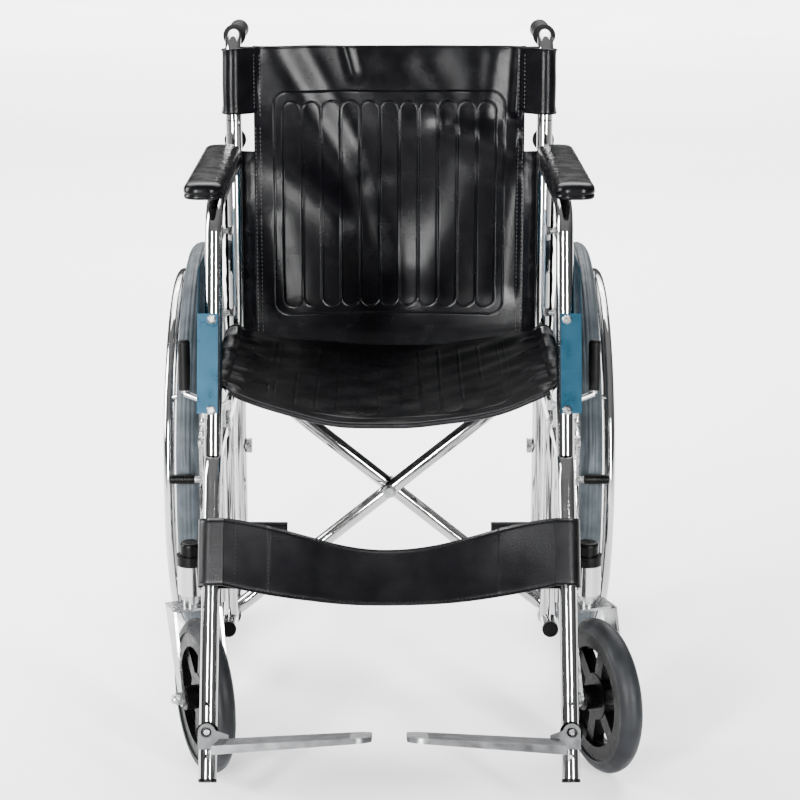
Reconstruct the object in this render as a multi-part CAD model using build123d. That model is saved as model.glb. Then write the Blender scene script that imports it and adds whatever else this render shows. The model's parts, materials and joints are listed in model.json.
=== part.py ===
"""Folding manual wheelchair: steel tube side frames on a scissor cross brace, half-folding back, push rims."""

import os
from math import atan2, cos, degrees, hypot, radians, sin, tan

from build123d import *

os.makedirs("parts", exist_ok=True)

# ---- driving dimensions, in mm: X to the sitter's left, Y backwards, Z up, Y = 0 at the back uprights ----
TUBE_R = 11.1  # 7/8 inch frame tube
TUBE_WALL = 1.6
SIDE_X = 221.0  # plane of each side frame
RUN = 0.08  # radial clearance of a running fit
SKIN = 0.5  # room between a tube and the fabric on it

RAIL_Z = 419.0  # seat rail, which runs on forwards as the footrest hanger
LOWER_Z = 116.0
LOWER_FRONT_Y = -279.0
LOWER_REAR_Y = 160.0  # the rear end is the tipping lever
ARM_Z = 721.0
ARM_FRONT_Y = -391.0
POST_LEAN = 16.8  # arm post, degrees from upright
HANGER_LEAN = 26.3  # footrest hanger, degrees from upright
HANGER_CORNER_Y = -487.6
HANGER_END_Z = 62.0
MID_POST_Y = -240.0
CASTER_POST_Y = -441.0
CASTER_POST_END = 214.0
CROSS_RAIL_Z = 243.5
SPLIT_Z = 780.0  # where the back folds
CANE_TOP_Z = 895.0
CANE_BEND_R = 32.0
GRIP_END_Y = 152.0

WHEEL_R = 300.0
TYRE_X = 272.0
TYRE_SECTION_R = 16.0
RIM_R = 273.0
HANDRIM_X = 299.5
HANDRIM_R = 254.0
HANDRIM_TUBE_R = 8.0
AXLE_R = 6.35
SPOKES = 36
SPOKE_R = 1.1

CASTER_R = 100.0
CASTER_WIDTH = 30.0
STEM_X = 255.0
TRAIL = 48.0
FORK_INNER = 28.5  # half the gap between the fork's legs
CASTER_RIM_R = 83.0
CASTER_SWIVEL = 21.0  # both casters stand turned by this much
FORK_CROWN_Z = 209.0

SEAT_Z = 474.0
SEAT_FRONT_Y = -388.0
SEAT_REAR_Y = -14.0
BRACE_R = 10.0
BRACE_A_Y = -188.5
BRACE_B_Y = -211.5
SLEEVE_R = 14.2
BRACE_Z = (SEAT_Z + LOWER_Z) / 2
BOLT_R = 5.0

GUARD_X = 240.0
PAD_X = 232.5

HANGER_UP = Vector(0, sin(radians(HANGER_LEAN)), cos(radians(HANGER_LEAN)))
HANGER_OUT = Vector(0, -cos(radians(HANGER_LEAN)), sin(radians(HANGER_LEAN)))
POST_OUT = Vector(0, -cos(radians(POST_LEAN)), sin(radians(POST_LEAN)))
FOOT_PIVOT_Z = 111.0
STRAP_Z = 310.0

FOOT_FRONT_Y = -776.5
ORIGIN_Y = (WHEEL_R + FOOT_FRONT_Y) / 2  # middle of the length, which the packed part has at Y = 0


def hanger_y(z):
    """Y of the hanger's centre line at a height below its elbow."""
    return HANGER_CORNER_Y + (z - RAIL_Z) * tan(radians(HANGER_LEAN))


def post_y(z):
    """Y of the arm post's centre line at a height."""
    return ARM_FRONT_Y + (z - ARM_Z) * tan(radians(POST_LEAN))


FOOT_PIVOT = Vector(SIDE_X, hanger_y(FOOT_PIVOT_Z), FOOT_PIVOT_Z)


def frame_at(origin, z_dir, x_dir=(1, 0, 0)):
    """A plane at origin whose own Z runs along z_dir."""
    return Plane(origin=origin, x_dir=x_dir, z_dir=z_dir)


def rod(start, end, radius, bore=0.0):
    """A round bar, or a tube if it has a bore, between two points."""
    a, b = Vector(*start), Vector(*end)
    line = b - a
    across = (0, 1, 0) if abs(line.normalized().X) > 0.9 else (1, 0, 0)
    where = Plane(origin=a, x_dir=Vector(*across).cross(line), z_dir=line)
    ring = Circle(radius) - Circle(bore) if bore else Circle(radius)
    return extrude(where * ring, line.length)


def bent(points, bends, radius, bore=0.0):
    """A bent round bar, or a tube if it has a bore: straight runs joined by tangent bends."""
    path = FilletPolyline(*points, radius=bends)
    ring = Circle(radius) - Circle(bore) if bore else Circle(radius)
    return sweep(frame_at(path @ 0, path % 0) * ring, path=path)


def block(low, high):
    """A box between two corners."""
    size = [h - l for l, h in zip(low, high)]
    middle = [(l + h) / 2 for l, h in zip(low, high)]
    return Pos(*middle) * Box(*size)


def pieces(*shapes):
    """Several separate solids in one sub-part."""
    found = [solid for shape in shapes for solid in shape.solids()]
    return Compound(children=found)


def write(name, shape):
    """Writes a sub-part, moved so that the middle of the length is at Y = 0."""
    export_step(Pos(0, -ORIGIN_Y, 0) * shape, f"parts/{name}.step")


def write_pair(name, shape):
    """Writes the left sub-part as drawn, and the right one as its mirror image."""
    write(f"{name}_left", shape)
    write(f"{name}_right", mirror(shape, about=Plane.YZ))


# ---- side frame: centre lines ----
HANGER_END_Y = hanger_y(HANGER_END_Z)
HANGER_POINTS = [
    (SIDE_X, 0, RAIL_Z),
    (SIDE_X, HANGER_CORNER_Y, RAIL_Z),
    (SIDE_X, HANGER_END_Y, HANGER_END_Z),
]
HANGER_BEND_R = 48.0
ARM_POINTS = [
    (SIDE_X, 0, ARM_Z),
    (SIDE_X, ARM_FRONT_Y, ARM_Z),
    (SIDE_X, post_y(RAIL_Z), RAIL_Z),
]
ARM_BEND_R = 46.0
BORE_R = TUBE_R - TUBE_WALL

cane_solid = rod((SIDE_X, 0, LOWER_Z), (SIDE_X, 0, SPLIT_Z), TUBE_R)
hanger_solid = bent(HANGER_POINTS, HANGER_BEND_R, TUBE_R)
lower_solid = rod((SIDE_X, LOWER_REAR_Y, LOWER_Z), (SIDE_X, LOWER_FRONT_Y, LOWER_Z), TUBE_R)
caster_post_solid = rod((SIDE_X, CASTER_POST_Y, RAIL_Z), (SIDE_X, CASTER_POST_Y, CASTER_POST_END), TUBE_R)
mid_post_solid = rod((SIDE_X, MID_POST_Y, LOWER_Z), (SIDE_X, MID_POST_Y, RAIL_Z), TUBE_R)

# ---- back hinge ----
HINGE_Y = 17.0
HINGE_Z = SPLIT_Z - 1.0
HINGE_PIN_R = 3.0
KNOB_Z = 748.0


def hinge_plate(x, thick, radius, top, bottom):
    """A plate behind the upright that rounds off round the hinge pin."""
    eye = rod((x, HINGE_Y, HINGE_Z), (x + thick, HINGE_Y, HINGE_Z), radius)
    return eye + block((x, 0, bottom), (x + thick, HINGE_Y + radius, top))


def rear_upright():
    """Back upright with the two ears of the back hinge, bored for the wheel axle."""
    tube = rod((SIDE_X, 0, LOWER_Z), (SIDE_X, 0, SPLIT_Z - 0.5), TUBE_R, BORE_R)
    ears = hinge_plate(SIDE_X - 8, 2.8, 6, HINGE_Z, 738) + hinge_plate(SIDE_X + 5.2, 2.8, 6, HINGE_Z, 738)
    bridge = block((SIDE_X - 8, 9, 738), (SIDE_X + 8, HINGE_Y + 6, 762))
    bracket = ears + bridge - cane_solid
    bracket -= rod((SIDE_X - 20, HINGE_Y, HINGE_Z), (SIDE_X + 20, HINGE_Y, HINGE_Z), HINGE_PIN_R)
    body = tube + bracket - lower_solid
    return body - rod((SIDE_X - 30, 0, WHEEL_R), (SIDE_X + 30, 0, WHEEL_R), AXLE_R)


def arm_tube():
    """Arm rail, its round front bend and the leaning arm post, in one tube."""
    return bent(ARM_POINTS, ARM_BEND_R, TUBE_R, BORE_R) - cane_solid - hanger_solid


def hanger_tube():
    """Seat rail and footrest hanger in one tube, with height holes below."""
    tube = bent(HANGER_POINTS, HANGER_BEND_R, TUBE_R, BORE_R) - cane_solid
    for z in (143.0, FOOT_PIVOT_Z, 86.0):
        here = Vector(SIDE_X, hanger_y(z), z)
        tube -= rod(here - HANGER_OUT * 20, here + HANGER_OUT * 20, 3.2)
    return tube


def lower_uprights():
    """Middle post, caster post and the rail that joins them."""
    mid = rod((SIDE_X, MID_POST_Y, LOWER_Z), (SIDE_X, MID_POST_Y, RAIL_Z), TUBE_R, BORE_R)
    mid = mid - lower_solid - hanger_solid
    post = rod((SIDE_X, CASTER_POST_Y, RAIL_Z), (SIDE_X, CASTER_POST_Y, CASTER_POST_END), TUBE_R, BORE_R) - hanger_solid
    ends = (SIDE_X, MID_POST_Y, CROSS_RAIL_Z), (SIDE_X, CASTER_POST_Y, CROSS_RAIL_Z)
    rail = rod(*ends, TUBE_R - 2, BORE_R - 2)
    rail = rail - mid_post_solid - caster_post_solid
    return pieces(mid, post, rail)


# ---- casters ----
HOUSING_R = 18.0
HOUSING_LOW = 224.0
HOUSING_HIGH = 263.0
STEM_R = 6.0
BEARING_R = 14.0
BEARING_T = 9.0
AXLE_Z = CASTER_R


def caster_housing():
    """Caster barrel on two plates from the caster post, with its two bearings."""
    barrel = rod((STEM_X, CASTER_POST_Y, HOUSING_LOW), (STEM_X, CASTER_POST_Y, HOUSING_HIGH), HOUSING_R)
    plates = Part()
    for z in (HOUSING_LOW + 4, HOUSING_HIGH - 8):
        plates += block((SIDE_X, CASTER_POST_Y - 14, z), (STEM_X, CASTER_POST_Y + 14, z + 4))
    barrel = barrel + plates - caster_post_solid
    low = (STEM_X, CASTER_POST_Y, HOUSING_LOW)
    barrel -= rod(low, (STEM_X, CASTER_POST_Y, HOUSING_HIGH), STEM_R + 2)
    bearings = []
    for z in (HOUSING_LOW, HOUSING_HIGH - BEARING_T):
        a, b = (STEM_X, CASTER_POST_Y, z), (STEM_X, CASTER_POST_Y, z + BEARING_T)
        barrel -= rod(a, b, BEARING_R)
        bearings.append(rod(a, b, BEARING_R, STEM_R + RUN))
    return pieces(barrel, *bearings)


def fork_leg(x):
    """One leg of the fork, drawn at no swivel: a plate that narrows to the axle."""
    back, front = CASTER_POST_Y + 17, CASTER_POST_Y - 21
    axle_y = CASTER_POST_Y - TRAIL
    outline = Plane.YZ.offset(x) * make_face(
        Polyline(
            (back, FORK_CROWN_Z),
            (front - 4, FORK_CROWN_Z),
            (axle_y - 9, AXLE_Z + 4),
            (axle_y + 9, AXLE_Z - 4),
            (back, FORK_CROWN_Z),
        )
    )
    return extrude(outline, 3.4) + rod((x, axle_y, AXLE_Z), (x + 3.4, axle_y, AXLE_Z), 10.5)


def caster_fork():
    """Fork with its stem, and the axle bolt with its dome nut and hex head."""
    inner = FORK_INNER
    axle_y = CASTER_POST_Y - TRAIL
    crown = block((-inner - 3.4, -21, FORK_CROWN_Z - 3.4), (inner + 3.4, 17, FORK_CROWN_Z))
    crown = Pos(STEM_X, CASTER_POST_Y, 0) * crown
    boss = rod((STEM_X, CASTER_POST_Y, FORK_CROWN_Z), (STEM_X, CASTER_POST_Y, HOUSING_LOW - 0.4), 13)
    stem = rod((STEM_X, CASTER_POST_Y, FORK_CROWN_Z), (STEM_X, CASTER_POST_Y, HOUSING_HIGH + 6), STEM_R)
    fork = crown + boss + stem + fork_leg(STEM_X - inner - 3.4) + fork_leg(STEM_X + inner)
    bolt = rod((STEM_X - inner - 7.5, axle_y, AXLE_Z), (STEM_X + inner + 9.5, axle_y, AXLE_Z), 4)
    fork -= bolt
    where = frame_at((STEM_X + inner + 3.4, axle_y, AXLE_Z), (1, 0, 0), (0, 1, 0))
    nut = extrude(where * RegularPolygon(8.2, 6), 6.5)
    nut += Pos(STEM_X + inner + 9.9, axle_y, AXLE_Z) * Sphere(6.6)
    nut -= block((STEM_X, axle_y - 9, AXLE_Z - 9), (STEM_X + inner + 3.4, axle_y + 9, AXLE_Z + 9))
    where = frame_at((STEM_X - inner - 3.4, axle_y, AXLE_Z), (-1, 0, 0), (0, 1, 0))
    head = extrude(where * RegularPolygon(8.2, 6), 5.5)
    return pieces(fork, bolt + nut + head)


def caster_hub():
    """Black wheel body with six broad spokes, a bored boss and a deep rim."""
    x, y, z = STEM_X, CASTER_POST_Y - TRAIL, AXLE_Z
    rim = rod((x - 13, y, z), (x + 13, y, z), CASTER_RIM_R, 65)
    web = rod((x - 3, y, z), (x + 3, y, z), 70, 61)
    disc = rod((x - 9, y, z), (x + 9, y, z), 30)
    boss = rod((x - FORK_INNER + 1.5, y, z), (x + FORK_INNER - 1.5, y, z), 15.5)
    hub = rim + web + disc + boss
    for i in range(6):
        arm = block((x - 8, y - 9, z + 12), (x + 8, y + 9, z + 68))
        hub += arm.rotate(Axis((x, y, z), (1, 0, 0)), 60 * i + 12)
    return hub - rod((x - 30, y, z), (x + 30, y, z), 4 + RUN)


def caster_tyre():
    """Solid caster tyre with rounded shoulders."""
    half = CASTER_WIDTH / 2
    outline = Plane.XZ * make_face(
        Line((-half, CASTER_RIM_R), (-half, 88))
        + ThreePointArc((-half, 88), (0, CASTER_R), (half, 88))
        + Line((half, 88), (half, CASTER_RIM_R))
        + Line((half, CASTER_RIM_R), (-half, CASTER_RIM_R))
    )
    tyre = revolve(outline, Axis.X)
    return Pos(STEM_X, CASTER_POST_Y - TRAIL, AXLE_Z) * tyre


def swivelled(shape, side):
    """A caster piece for one side, both casters turned the same way about their stems."""
    here = shape if side == "left" else mirror(shape, about=Plane.YZ)
    x = STEM_X if side == "left" else -STEM_X
    return here.rotate(Axis((x, CASTER_POST_Y, 0), (0, 0, 1)), CASTER_SWIVEL)


# ---- rear wheels ----
HUB_INNER_X = 246.0
HUB_OUTER_X = 295.0
FLANGE_R = 27.0
FLANGE_X = (254.0, 286.0)


def about_axle(outline):
    """Revolves an outline drawn as (X, radius) about the rear axle."""
    return Pos(0, 0, WHEEL_R) * revolve(Plane.XZ * outline, Axis.X)


def rear_tyre():
    """Solid tyre, round outside and flat where it sits on the rim."""
    half = TYRE_SECTION_R
    middle = WHEEL_R - half
    outline = Pos(TYRE_X, middle) * Circle(half) - Pos(TYRE_X, RIM_R - 20) * Rectangle(80, 40)
    return about_axle(outline)


def rear_rim():
    """Box rim with two low side walls."""
    outline = Pos(TYRE_X, RIM_R - 6.5) * Rectangle(25, 11)
    outline += Pos(TYRE_X, RIM_R - 9) * Rectangle(17, 16)
    return about_axle(outline - Pos(TYRE_X, RIM_R - 8) * Rectangle(13, 6))


def rear_hub():
    """Hub barrel with two spoke flanges and a bearing seat at each end."""
    outline = make_face(
        Polyline(
            (HUB_INNER_X, AXLE_R + RUN),
            (HUB_INNER_X, 14),
            (FLANGE_X[0] - 1.5, 16),
            (FLANGE_X[0] - 1.5, FLANGE_R),
            (FLANGE_X[0] + 1.5, FLANGE_R),
            (FLANGE_X[0] + 1.5, 15),
            (FLANGE_X[1] - 1.5, 15),
            (FLANGE_X[1] - 1.5, FLANGE_R),
            (FLANGE_X[1] + 1.5, FLANGE_R),
            (FLANGE_X[1] + 1.5, 16),
            (HUB_OUTER_X, 14),
            (HUB_OUTER_X, AXLE_R + RUN),
            (HUB_INNER_X, AXLE_R + RUN),
        )
    )
    return about_axle(outline)


def rear_spoke(i):
    """One wire spoke, from a flange to the rim, laced across its neighbours."""
    side = i % 2
    lean = 58 if (i // 2) % 2 else -58
    at_rim = radians(360 * i / SPOKES)
    at_hub = at_rim + radians(lean)
    outside = 1 if side else -1
    hub_x = FLANGE_X[side] + outside * (1.6 + SPOKE_R)
    start = (hub_x, (FLANGE_R - 3) * cos(at_hub), WHEEL_R + (FLANGE_R - 3) * sin(at_hub))
    reach = RIM_R - 17.3
    end = (TYRE_X + outside * 3, reach * cos(at_rim), WHEEL_R + reach * sin(at_rim))
    return rod(start, end, SPOKE_R)


def handrim():
    """Push rim, held off the wheel rim by six bent tabs."""
    ring = about_axle(Pos(HANDRIM_X, HANDRIM_R) * Circle(HANDRIM_TUBE_R))
    bore = about_axle(Pos(HANDRIM_X, HANDRIM_R) * Circle(HANDRIM_TUBE_R - TUBE_WALL))
    rim = rear_rim()
    tabs = []
    for i in range(6):
        angle = radians(60 * i + 30)
        start = Vector(TYRE_X + 12.6, (RIM_R - 6.5) * cos(angle), WHEEL_R + (RIM_R - 6.5) * sin(angle))
        end = Vector(HANDRIM_X, HANDRIM_R * cos(angle), WHEEL_R + HANDRIM_R * sin(angle))
        tabs.append(rod(start, end, 3.4) - ring - rim)
    return pieces(ring - bore, *tabs)


def axle_bolt():
    """Wheel axle bolt with its head outside, a spacer, and the nuts inside the upright."""
    bolt = rod((203, 0, WHEEL_R), (301, 0, WHEEL_R), AXLE_R)
    outer = frame_at((HUB_OUTER_X + 0.6, 0, WHEEL_R), (1, 0, 0), (0, 1, 0))
    head = extrude(outer * RegularPolygon(11, 6), 8)
    inner = frame_at((SIDE_X - TUBE_R, 0, WHEEL_R), (-1, 0, 0), (0, 1, 0))
    nut = extrude(inner * RegularPolygon(11, 6), 8) - cane_solid
    spacer = rod((SIDE_X, 0, WHEEL_R), (HUB_INNER_X - 0.6, 0, WHEEL_R), 10) - cane_solid
    return bolt + head + nut + spacer


# ---- cross brace: each half is one weldment of cross tube, pivot sleeve and seat tube ----
def cross_brace(y, outer_fit):
    """The half that pivots on the left lower rail and carries the right seat tube."""
    low = (SIDE_X, y, LOWER_Z)
    high = (-SIDE_X, y, SEAT_Z)
    sleeve = rod((SIDE_X, BRACE_B_Y - 14, LOWER_Z), (SIDE_X, BRACE_A_Y + 22, LOWER_Z), SLEEVE_R)
    seat = rod((-SIDE_X, SEAT_FRONT_Y, SEAT_Z), (-SIDE_X, SEAT_REAR_Y, SEAT_Z), TUBE_R)
    cavity = rod((-SIDE_X, SEAT_FRONT_Y + 3, SEAT_Z), (-SIDE_X, SEAT_REAR_Y - 3, SEAT_Z), BORE_R)
    tube = rod(low, high, BRACE_R)
    hollow = rod(low, high, BRACE_R - TUBE_WALL) - sleeve - seat
    body = tube + sleeve + seat - hollow - cavity
    body -= rod((SIDE_X, -300, LOWER_Z), (SIDE_X, 0, LOWER_Z), TUBE_R + outer_fit)
    return body - rod((0, -300, BRACE_Z), (0, 0, BRACE_Z), BOLT_R + outer_fit)



def brace_bolt():
    """Pivot bolt through the two brace tubes, with a washer between them, a dome head and a nut."""
    front, rear = BRACE_B_Y - BRACE_R, BRACE_A_Y + BRACE_R
    shank = rod((0, front - 3, BRACE_Z), (0, rear + 9, BRACE_Z), BOLT_R)
    head = Pos(0, front - 1.6, BRACE_Z) * Rot(90, 0, 0) * Cone(9.5, 5.5, 3.2)
    nut = extrude(frame_at((0, rear + 0.4, BRACE_Z), (0, 1, 0)) * RegularPolygon(9.5, 6), 7)
    washer = rod((0, BRACE_B_Y + BRACE_R + 0.4, BRACE_Z), (0, BRACE_A_Y - BRACE_R - 0.4, BRACE_Z), 9)
    return shank + head + nut + washer


# ---- seat, back and arm pieces ----
WRAP_R = TUBE_R + SKIN + 2.2
SADDLE_Y = (-371.0, -62.0)


def seat_saddles():
    """Two cradles on the seat rail that the wrapped seat tube drops into."""
    cradles = []
    for y in SADDLE_Y:
        cradle = block((SIDE_X - 17, y - 13, 453), (SIDE_X + 17, y + 13, 466))
        cradle += rod((SIDE_X, y, RAIL_Z), (SIDE_X, y, 454), 8)
        cradle -= rod((SIDE_X, y - 20, SEAT_Z), (SIDE_X, y + 20, SEAT_Z), WRAP_R + 0.5)
        cradles.append(cradle - hanger_solid)
    return pieces(*cradles)


def sagging_sheet(half, edge, middle, thick):
    """A thin arched strip in plan or section: the outline between two arcs through the same sag."""
    upper = ThreePointArc((-half, edge), (0, middle), (half, edge))
    lower = ThreePointArc((half, edge - thick), (0, middle - thick), (-half, edge - thick))
    right = Line((half, edge), (half, edge - thick))
    left = Line((-half, edge - thick), (-half, edge))
    return make_face(upper + right + lower + left)


def seat_sling():
    """Seat fabric slung between the two seat tubes and wrapped round them."""
    front, rear = SEAT_FRONT_Y + 1, SEAT_REAR_Y - 12
    reach = SIDE_X - TUBE_R - 0.9
    outline = sagging_sheet(reach, SEAT_Z + 3, SEAT_Z - 24, 5)
    sling = extrude(Plane.XZ.offset(-front) * outline, front - rear)
    for side in (-1, 1):
        at_front, at_rear = (side * SIDE_X, front, SEAT_Z), (side * SIDE_X, rear, SEAT_Z)
        sling += rod(at_front, at_rear, WRAP_R, TUBE_R + SKIN)
    for side, y in ((1, BRACE_A_Y), (-1, BRACE_B_Y)):
        sling -= rod((side * SIDE_X, y, LOWER_Z), (-side * SIDE_X, y, SEAT_Z), BRACE_R + 3)
    return sling


PANEL_HALF = 193.0
BACK_LOW_Z = 430.0
FLAP_LOW_Z = 484.0
NOTCH_LOW = 734.0
NOTCH_HIGH = 790.0
BACK_TOP_Z = 884.0
BACK_EDGE_Y = 10.0
BACK_SAG_Y = 30.0


def back_sheet(half, low, high):
    """The flat of the back fabric, bowed backwards between the uprights."""
    outline = sagging_sheet(half, BACK_EDGE_Y, BACK_SAG_Y, 5)
    return Pos(0, 0, low) * extrude(outline, high - low)


def back_upholstery_lower():
    """Back fabric below the fold, which passes behind the two uprights."""
    fabric = back_sheet(PANEL_HALF, BACK_LOW_Z, SPLIT_Z - 0.4)
    fabric += back_sheet(SIDE_X - TUBE_R - 0.9, FLAP_LOW_Z, NOTCH_LOW)
    for side in (-1, 1):
        x = side * SIDE_X
        flap = rod((x, 0, FLAP_LOW_Z), (x, 0, NOTCH_LOW), WRAP_R, TUBE_R + SKIN)
        fabric += flap - block((x - 30, -30, 0), (x + 30, 5, 1000))
    return fabric


def back_upholstery_upper():
    """Back fabric above the fold, with a sleeve round each push cane."""
    fabric = back_sheet(PANEL_HALF, SPLIT_Z + 0.4, BACK_TOP_Z)
    fabric += back_sheet(SIDE_X - TUBE_R - 0.9, NOTCH_HIGH, BACK_TOP_Z - 4)
    for side in (-1, 1):
        x = side * SIDE_X
        sleeve = rod((x, 0, NOTCH_HIGH), (x, 0, 858), WRAP_R, TUBE_R + SKIN)
        half = rod((x, 0, 857), (x, 0, BACK_TOP_Z - 4), WRAP_R + 1.5, TUBE_R + SKIN)
        sleeve += half - block((x - 30, -4, 850), (x + 30, 30, 900))
        lug_room = block((x - 8, 0, 770), (x + 8, 30, HINGE_Z + 24))
        fabric += sleeve
        fabric -= lug_room
    return fabric


def push_cane():
    """Upper back tube with the hinge lug, bent back into the push handle."""
    low = SPLIT_Z + 0.5
    points = [(SIDE_X, 0, low), (SIDE_X, 0, CANE_TOP_Z), (SIDE_X, GRIP_END_Y - 4, CANE_TOP_Z)]
    tube = bent(points, CANE_BEND_R, TUBE_R, BORE_R)
    inside = rod((SIDE_X, 0, low - 5), (SIDE_X, 0, 840), TUBE_R)
    lug = block((SIDE_X - 4.8, 8, SPLIT_Z + 1.5), (SIDE_X + 4.8, HINGE_Y + 5, HINGE_Z + 22))
    lug = lug + rod((SIDE_X - 4.8, HINGE_Y, HINGE_Z), (SIDE_X + 4.8, HINGE_Y, HINGE_Z), 5) - inside
    lug -= rod((SIDE_X - 9, HINGE_Y, HINGE_Z), (SIDE_X + 9, HINGE_Y, HINGE_Z), HINGE_PIN_R + RUN)
    return tube + lug


GRIP_START_Y = 40.0


def hand_grip():
    """Push handle grip: a sleeve with a front flange and finger ridges, closed at the back."""
    outline = Pos((GRIP_START_Y + GRIP_END_Y) / 2, 7) * Rectangle(GRIP_END_Y - GRIP_START_Y, 14)
    outline += Pos(GRIP_START_Y + 2, 8) * Rectangle(4, 16)
    for i in range(4):
        outline -= Pos(GRIP_START_Y + 26 + 21 * i, 16.6) * Circle(4)
    outline -= Pos((GRIP_START_Y + GRIP_END_Y - 4) / 2, 0) * Rectangle(GRIP_END_Y - 4 - GRIP_START_Y, 2 * TUBE_R)
    outline -= Pos((GRIP_START_Y + GRIP_END_Y) / 2, -10) * Rectangle(400, 20)
    return Pos(SIDE_X, 0, CANE_TOP_Z) * revolve(Plane.YZ * outline, Axis.Y)


PAD_REAR_Y = -55.0
PAD_FRONT_Y = -430.0
PAD_LOW_Z = 734.0
PAD_HIGH_Z = 754.5
PAD_HALF = 25.0


def arm_pad():
    """Moulded arm pad, rounded at both ends in plan and along its top edges."""
    length = PAD_REAR_Y - PAD_FRONT_Y
    outline = Pos(PAD_X, (PAD_REAR_Y + PAD_FRONT_Y) / 2) * RectangleRounded(2 * PAD_HALF, length, 16)
    pad = extrude(Pos(0, 0, PAD_LOW_Z) * outline, PAD_HIGH_Z - PAD_LOW_Z)
    pad = fillet(pad.edges().group_by(Axis.Z)[-1], 9)
    return fillet(pad.edges().group_by(Axis.Z)[0], 4)


GUARD_LOW = 473.0
GUARD_HIGH = 647.0
FLANGE_HIGH = 593.0
FLANGE_OFF = TUBE_R + 1.3


def flange_y(z):
    """Y of the guard flange's back face at a height."""
    return post_y(z) - FLANGE_OFF / cos(radians(POST_LEAN))


SCREW_R = 1.6


def guard_screws():
    """Where the two screws sit on the front of the guard flange."""
    return [Vector(SIDE_X + 1.5, flange_y(z), z) + POST_OUT * 1.2 for z in (GUARD_LOW + 4, FLANGE_HIGH - 7)]


def skirt_guard():
    """Painted side panel, folded inwards across the front of the arm post."""
    corners = [
        (flange_y(GUARD_LOW), GUARD_LOW),
        (flange_y(FLANGE_HIGH), FLANGE_HIGH),
        (flange_y(FLANGE_HIGH) + 34, GUARD_HIGH),
        (-20, GUARD_HIGH),
        (-20, GUARD_LOW),
        (flange_y(GUARD_LOW), GUARD_LOW),
    ]
    outline = make_face(Polyline(*corners))
    panel = extrude(Plane.YZ.offset(GUARD_X - 0.6) * outline, 1.2)
    foot = Vector(0, flange_y(GUARD_LOW), GUARD_LOW)
    head = Vector(0, flange_y(FLANGE_HIGH), FLANGE_HIGH)
    fold = [foot, foot + POST_OUT * 1.2, head + POST_OUT * 1.2, head, foot]
    side = make_face(Polyline(*[(p.Y, p.Z) for p in fold]))
    guard = panel + extrude(Plane.YZ.offset(GUARD_X + 0.6) * side, -26)
    for at in guard_screws():
        guard -= rod(at - POST_OUT * 3, at + POST_OUT, SCREW_R)
    return guard


# ---- brakes ----
BRAKE_X = 244.0
LEVER_PIVOT = (-344.0, 424.0)
ARM_PIVOT = (-322.0, 392.0)
SHOE = (-312.5, 339.0)
LEVER_TOP = (-331.0, 462.0)


def eye_plate(x, thick, a, b, radius_a, radius_b):
    """A flat link between two (Y, Z) points, rounded at both ends."""
    line = hypot(b[0] - a[0], b[1] - a[1])
    turn = degrees(atan2(b[1] - a[1], b[0] - a[0]))
    bar = Pos(line / 2, 0) * Rectangle(line, 2 * min(radius_a, radius_b))
    outline = Circle(radius_a) + bar + Pos(line, 0) * Circle(radius_b)
    where = Plane.YZ.offset(x) * Pos(*a) * Rot(0, 0, turn)
    return extrude(where * outline, thick)


def brake_bracket():
    """Plate clamped to the seat rail, with the pivot pins of the lever and of the arm."""
    clamp = rod((SIDE_X, -352, RAIL_Z), (SIDE_X, -322, RAIL_Z), TUBE_R + 2.6)
    ear = block((SIDE_X + 8, -352, RAIL_Z - 6), (BRAKE_X - 3, -322, RAIL_Z + 6))
    plate = eye_plate(BRAKE_X - 6, 3, LEVER_PIVOT, ARM_PIVOT, 11, 10)
    lever_pin = rod((BRAKE_X - 6, *LEVER_PIVOT), (BRAKE_X + 5, *LEVER_PIVOT), 3)
    arm_pin = rod((BRAKE_X - 6, *ARM_PIVOT), (BRAKE_X + 9.5, *ARM_PIVOT), 3)
    whole = clamp + ear + plate + lever_pin + arm_pin
    return whole - hanger_solid


def brake_lever():
    """Flat lever from its pivot up to the grip."""
    plate = eye_plate(BRAKE_X - 2.6, 3.4, LEVER_PIVOT, (-336, 452), 10, 6)
    step = rod((BRAKE_X - 2.6, -336, 452), (269, *LEVER_TOP), 4)
    stick = rod((269, *LEVER_TOP), (269, -329, 500), 4)
    bore = rod((BRAKE_X - 9, *LEVER_PIVOT), (BRAKE_X + 9, *LEVER_PIVOT), 3 + RUN)
    return plate + step + stick - bore


def brake_grip():
    """Black grip pressed over the brake lever's stick."""
    grip = rod((269, -331, 467), (269, -328, 534), 8)
    grip = fillet(grip.edges().group_by(Axis.Z)[-1], 5)
    return grip - rod((269, *LEVER_TOP), (269, -329, 500), 4)


def brake_arm():
    """Brake arm with the cross bar that presses on the tyre."""
    plate = eye_plate(BRAKE_X + 5, 3.4, ARM_PIVOT, SHOE, 10, 6)
    bar = rod((BRAKE_X + 5, *SHOE), (293, *SHOE), 4.4)
    bore = rod((BRAKE_X, *ARM_PIVOT), (BRAKE_X + 12, *ARM_PIVOT), 3 + RUN)
    return plate + bar - bore


# ---- footplates ----
FOOT_TIP_X = 20.5
FOOT_ROOT_X = 206.0
FOOT_TILT = 18.8
FOOT_REAR_OUT = 17.5
FOOT_DEPTH = 121.0
LUG_OUT = 13.6
LUG_THICK = 12.0
EYE_R = 10.6
EYE_SUNK = 3.4  # the bolt head stands in a round pocket this deep


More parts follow.
